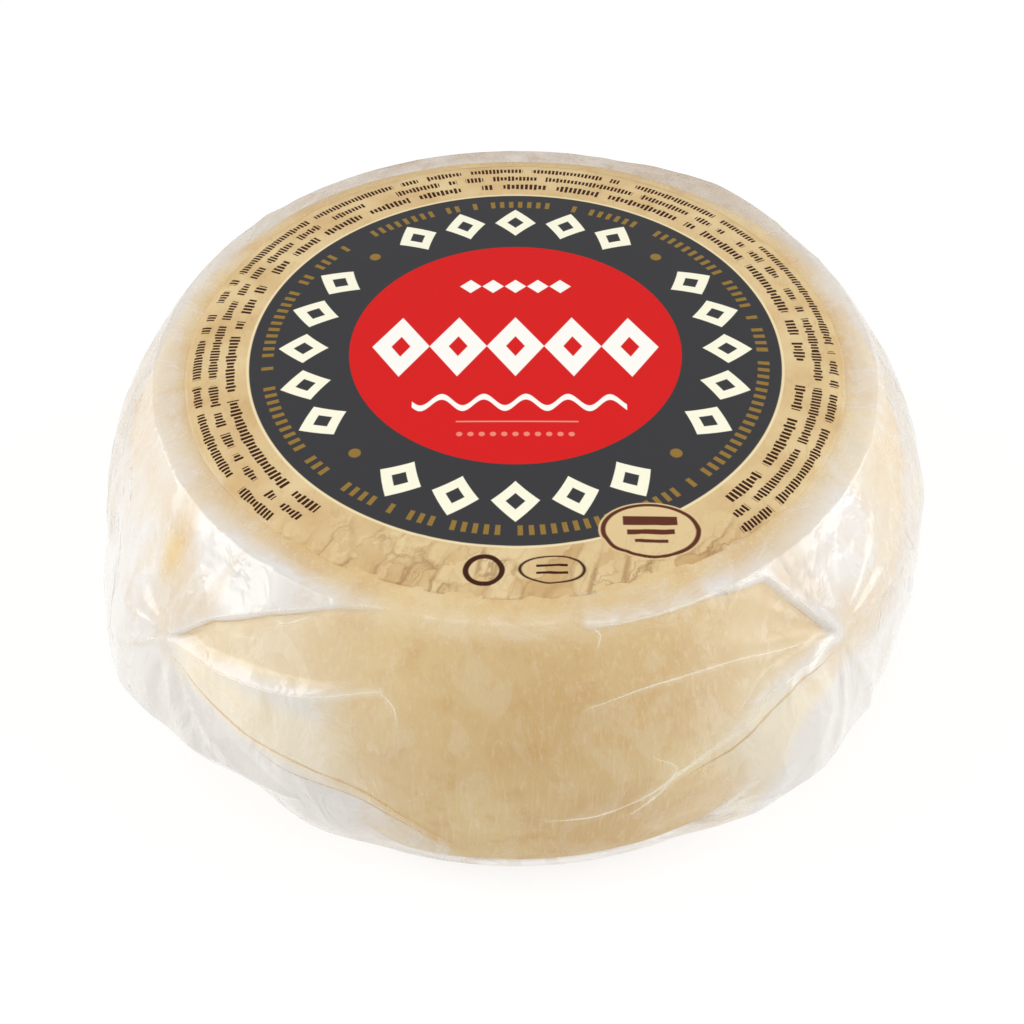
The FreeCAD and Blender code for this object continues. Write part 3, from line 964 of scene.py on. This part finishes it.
def skirts(place, z):
    """1 on the two white skirts of film at the foot, 0 elsewhere."""
    left = (eased(away_from(LEFT_SKIRT, place, z), 0, -3) * eased(place, 182, 204)
            * eased(place, 272, 264))
    right = (eased(away_from(RIGHT_SKIRT, place, z), 0, 4) * eased(place, 296, 301)
             * eased(place, 357, 327))
    return left + right


def film_free(place, z, off):
    """How much the film shines: more as it stands off, less high at the rear and in a pocket."""
    in_pocket = np.exp(-(away_from(LEFT_LOWER, place, z) / POCKET_WIDTH) ** 2)
    dull = (1 - REAR_LOSS * at_rear(place) * eased(z, 50, 58)) * (1 - POCKET_LOSS * in_pocket)
    return eased(off, 0, 2.2) * dull


def film_warm(place, z):
    """How much of the cheese's colour the film takes on, where it lies close."""
    low_front = eased(z, 52, 47) * eased(from_front(place), 49, 41)
    close = np.maximum(tightness(place, z), low_front)
    return close * (1.0 - np.clip(skirts(place, z), 0.0, 1.0))


def side_milk(place, z, off):
    """How milky the film is on the side of the wheel, partly as painted light."""
    milk = (MILK_ALL + MILK_SHOULDER * eased(z, 64.5, 68.5) * (1 - REAR_LOSS * at_rear(place))
            + MILK_LOOSE * eased(off, 0.8, 5.3) + SIDE_MILK_AND_LIGHT * eased(from_front(place), 8, 52))
    tight = tightness(place, z)
    for middle, level, wide, tall, amount in MILK_AND_LIGHT:
        away = np.hypot(apart(place, middle) / wide, (z - level) / tall)
        milk = milk + amount * eased(away, 1, 0) * (1.0 - 0.5 * tight)
    for line, width, amount in FOLD_MILK_AND_HIGHLIGHTS:
        milk = milk + amount * np.exp(-(away_from(line, place, z) / width) ** 2)
    for line, thick in BEADS:
        near = np.exp(-(away_from(line, place, z) / BEAD_WIDTH) ** 2)
        milk = milk + BEAD_MILK_AND_HIGHLIGHT * thick * near
    return np.clip(milk + MILK_SKIRT * skirts(place, z) * eased(z, 49, 40), 0.0, 1.0)


def film_haze(radius, place, z, off):
    """How milky the film is all over: its side, the crown's rim, and the foot of the front."""
    round_front = from_front(place)
    foot = eased(round_front, 34, 26) * eased(z, 5, 1)
    under = at_foot(radius, place) * eased(z, 2.2, 0.7)
    crown = ((1 - on_side) * eased(radius, 61.5, 63.0) * eased(round_front, 30, 65)
             * eased(z, 60, 61))
    side = on_side * side_milk(place, z, off) * (1 - 0.8 * foot)
    return side + MILK_CROWN * crown + MILK_FOOT * under


film_off = film_out - sag(film_place, film_z) * on_side      # how far it stands off the cheese
put_number(film, "free", film_free(film_place, film_z, film_off))
put_number(film, "warm", film_warm(film_place, film_z))
put_number(film, "haze", film_haze(film_radius, film_place, film_z, film_off))

# %% [markdown]
# ## Folded edges
# Where the film is folded over or pinched, its edge is a fine bright bead. A mesh this wide
# can't hold such sharp lines, so each is a thin curve laid on the film, thinning out at both
# ends. It is swept by a curve's own bevel and then made a mesh. The few tan lines, where the
# film is doubled over the cheese, are made the same way: they are partly painted shade along
# the fold.

# %% Beads along the folds
BEAD_PITCH = 0.8            # millimetres from one point of a bead to the next
BEAD_ROUND = 0.8            # a bead's radius, as a share of its thickness
BEAD_END = 0.15             # how thick its ends are, as a share


def film_point(place, z):
    """The point of the film at a place and height, in metres."""
    z = min(z, EDGE_TOP + 0.6)
    turned_radius = BELLY_X + math.sqrt(FILM_ROUND ** 2 - (z - BELLY_Z) ** 2)
    radius = turned_radius + float(film_push(np.array([place]), np.array([z]))[0])
    turn = math.radians(place)
    return Vector((radius * math.cos(turn), radius * math.sin(turn), z)) * MM


def smooth_line(points):
    """Points along a soft line through these, about a pitch apart."""
    points = [np.array(p, float) for p in points]
    ends = [2 * points[0] - points[1]] + points + [2 * points[-1] - points[-2]]
    line = []
    for a, b, c, d in zip(ends, ends[1:], ends[2:], ends[3:]):
        length = math.hypot((c[0] - b[0]) * ONE_PLACE, c[1] - b[1])
        steps = max(2, int(length / BEAD_PITCH))
        for i in range(steps):
            s = i / steps
            line.append(0.5 * (2 * b + (c - a) * s + (2 * a - 5 * b + 4 * c - d) * s ** 2
                               + (3 * b - a - 3 * c + d) * s ** 3))
    return line + [points[-1]]


def bead(points, thick):
    """A thin curve along the film, thinning out at both ends and a little uneven."""
    line = smooth_line(points)
    data = bpy.data.curves.new("bead", "CURVE")
    data.dimensions = "3D"
    data.bevel_depth = BEAD_ROUND * thick * MM
    data.bevel_resolution = 2
    data.use_fill_caps = True
    spline = data.splines.new("POLY")
    spline.points.add(len(line) - 1)
    for i, (point, (place, z)) in enumerate(zip(spline.points, line)):
        from_end = min(i, len(line) - 1 - i) / max(3.0, 0.25 * len(line))
        uneven = 0.8 + 0.2 * math.sin(1.3 * i)
        point.co = (*film_point(place, z), 1.0)
        point.radius = BEAD_END + (1 - BEAD_END) * min(1.0, from_end) * uneven
    piece = bpy.data.objects.new("bead", data)
    bpy.context.scene.collection.objects.link(piece)
    return piece


def film_beads(name, lines):
    """Sweeps a bead along each line, and joins them into one mesh."""
    deselect()
    pieces = [bead(points, thick) for points, thick in lines]
    for piece in pieces:
        piece.select_set(True)
    bpy.context.view_layer.objects.active = pieces[0]
    bpy.ops.object.convert(target="MESH")
    bpy.ops.object.join()
    joined = bpy.context.object
    joined.name = joined.data.name = name
    bpy.ops.object.shade_smooth()
    report(joined)
    return joined


beads = film_beads("film_fold_beads", BEADS)
shades = film_beads("film_fold_shades", SHADES)

# %% [markdown]
# ## The finish of the film
# Clear film is nearly invisible where it lies tight, and turns milky white where it stands off
# or creases. Glass with a little roughness could show it, but it would darken the cheese. So two
# Mix Shaders do it. The inner one mixes a clear shader with a milky one by each point's haze.
# The outer one lays a broad shine over it by the Fresnel share of clear plastic, only where the
# film hangs free. At the rear the milky shader is a dark tan, painted shade that stands for the
# shaded cheese seen through the film.

# %% Clear film
def clear_film(name, haze, free, warm, colour):
    """Film of a given haze, freeness and warmth: numbers, or names of vertex attributes."""
    finish = new_finish(name)
    x, y, z = finish.places()

    def number(value):
        if isinstance(value, str):
            return finish.node("ShaderNodeAttribute", {"attribute_name": value}).out("Fac")
        return value

    # wrinkles in the surface
    soft = finish.noise(finish.vector(x, y, z * 0.6), 0.10, 3.0, 0.5, 1.2)
    warped = finish.vector(x + 9 * soft, y - 7 * soft, z * 0.7 + 8 * soft)
    facets = finish.node("ShaderNodeTexVoronoi", {"feature": "F1"},
                         {"Vector": warped, "Scale": 0.12}).out("Distance")
    normal = finish.bump(soft * 0.7 + facets * 0.5, 2.0, 0.45)

    # streaky milkiness, with pale patches where the film clings to the rind
    streaks = finish.noise(finish.vector(x, y, z * 0.35), 0.14, 3.0, 0.5, 0.8)
    cling = finish.noise(finish.vector(x, y, z * 0.5), 0.10, 4.0, 0.6, 1.5).ramp(0.52, 0.58)
    milk = number(haze) * (0.5 + streaks)
    milk = milk + cling * 0.14 * milk.ramp(0.0, 0.02)
    # painted shade: the film high at the rear is tinted a dark tan
    rear_shade = y.ramp(20.0, 62.0) * z.ramp(48.0, 66.0)
    tint = finish.blend(number(warm) * 0.8, srgb(*colour), srgb(240, 226, 196))
    tint = finish.blend(rear_shade, tint, srgb(186, 163, 134))
    milky = finish.node("ShaderNodeBsdfPrincipled", None, {
        "Base Color": tint, "Roughness": 0.2, "Normal": normal}).out()
    clear = finish.node("ShaderNodeBsdfTransparent", None, {"Color": WHITE}).out()

    # the shine of clear plastic
    fresnel = finish.node("ShaderNodeFresnel", None, {"IOR": 1.5, "Normal": normal}).out()
    shine = (fresnel * number(free) * 0.7).clamped()
    gloss = finish.node("ShaderNodeBsdfAnisotropic", None, {
        "Color": WHITE, "Roughness": 0.18, "Normal": normal}).out()
    film_itself = finish.mix_shaders(milk.clamped(), clear, milky)
    return finish.show(finish.mix_shaders(shine, film_itself, gloss))


beads.data.materials.clear()
shades.data.materials.clear()
film.data.materials.append(clear_film("clear_film", "haze", "free", "warm", (227, 222, 215)))
beads.data.materials.append(clear_film("folded_film", 0.30, 0.2, 0.0, (246, 236, 212)))
# painted shade: the tan lines along the folds
shades.data.materials.append(clear_film("shaded_film", 0.42, 0.0, 0.0, (208, 172, 118)))
for piece in (film, beads, shades):
    piece.visible_shadow = False      # clear film hardly dims the light on what it covers
    piece.visible_diffuse = False
    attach(piece, "root")
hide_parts("clear_wrap")

# %% [markdown]
# ## Floor and light
# The wheel stands on a plain white floor in soft studio light: a pale sky all round, a large
# soft box above, and one at each side, which is why the middle of the front is a little darker
# than the sides. A floor bright enough to be white by light alone would wash the cheese out. So
# it glows a little, but only as the camera and reflections see it, and it keeps a faint shadow.

# %% Floor
FLOOR_SIZE = 6.0            # metres
FLOOR_GLOW, GLOW_SHARE = 1.08, 0.72
NEAR_FLOOR, FAR_FLOOR = 180.0, 700.0     # from here outwards its shadow fades, in millimetres

deselect()
bpy.ops.mesh.primitive_plane_add(size=FLOOR_SIZE, location=(0.0, 0.0, 0.0))
floor = bpy.context.object
floor.name = "floor"


def white_floor():
    finish = new_finish("white_floor")
    path = finish.node("ShaderNodeLightPath")
    x, y, z = finish.places()
    far = ((x * x + y * y) ** 0.5).ramp(NEAR_FLOOR, FAR_FLOOR)
    seen = path.out("Is Camera Ray").most(path.out("Is Glossy Ray"))
    seen = seen * (GLOW_SHARE + (1 - GLOW_SHARE) * far)
    lit = finish.node("ShaderNodeBsdfDiffuse", None, {"Color": (0.9, 0.9, 0.9)}).out()
    glow = finish.node("ShaderNodeEmission", None, {"Color": WHITE, "Strength": FLOOR_GLOW}).out()
    return finish.show(finish.mix_shaders(seen, lit, glow))


floor.data.materials.append(white_floor())

# %% Sky and lamps
SKY_LIGHT, SKY_SEEN = 0.40, 1.0
MIDDLE = (0.0, 0.0, 0.035)


def white_sky():
    """A sky that lights the wheel softly and shows white."""
    finish = Finish(bpy.data.worlds.new("studio"))
    path = finish.node("ShaderNodeLightPath")
    seen = path.out("Is Camera Ray").most(path.out("Is Glossy Ray"))
    seen = seen.most(path.out("Is Transmission Ray"))
    dim, bright = (finish.node("ShaderNodeBackground", None, {"Color": WHITE, "Strength": v}).out()
                   for v in (SKY_LIGHT, SKY_SEEN))
    return finish.show(finish.mix_shaders(seen, dim, bright), "ShaderNodeOutputWorld")


def soft_box(name, place, size, power):
    """A square area lamp that faces the middle of the wheel."""
    data = bpy.data.lights.new(name, "AREA")
    data.shape = "RECTANGLE"
    data.size, data.size_y = size
    data.energy = power
    lamp = bpy.data.objects.new(name, data)
    lamp.location = place
    lamp.rotation_euler = (Vector(MIDDLE) - Vector(place)).to_track_quat("-Z", "Y").to_euler()
    bpy.context.scene.collection.objects.link(lamp)
    print(name, power, "W")


bpy.context.scene.world = white_sky()
soft_box("soft_box_top", (0.0, -0.25, 0.9), (0.7, 0.5), 2.3)
soft_box("soft_box_left", (-0.75, -0.05, 0.33), (0.8, 0.55), 3.9)
soft_box("soft_box_right", (0.75, -0.05, 0.33), (0.8, 0.55), 3.9)
bpy.context.scene.view_settings.view_transform = "Standard"
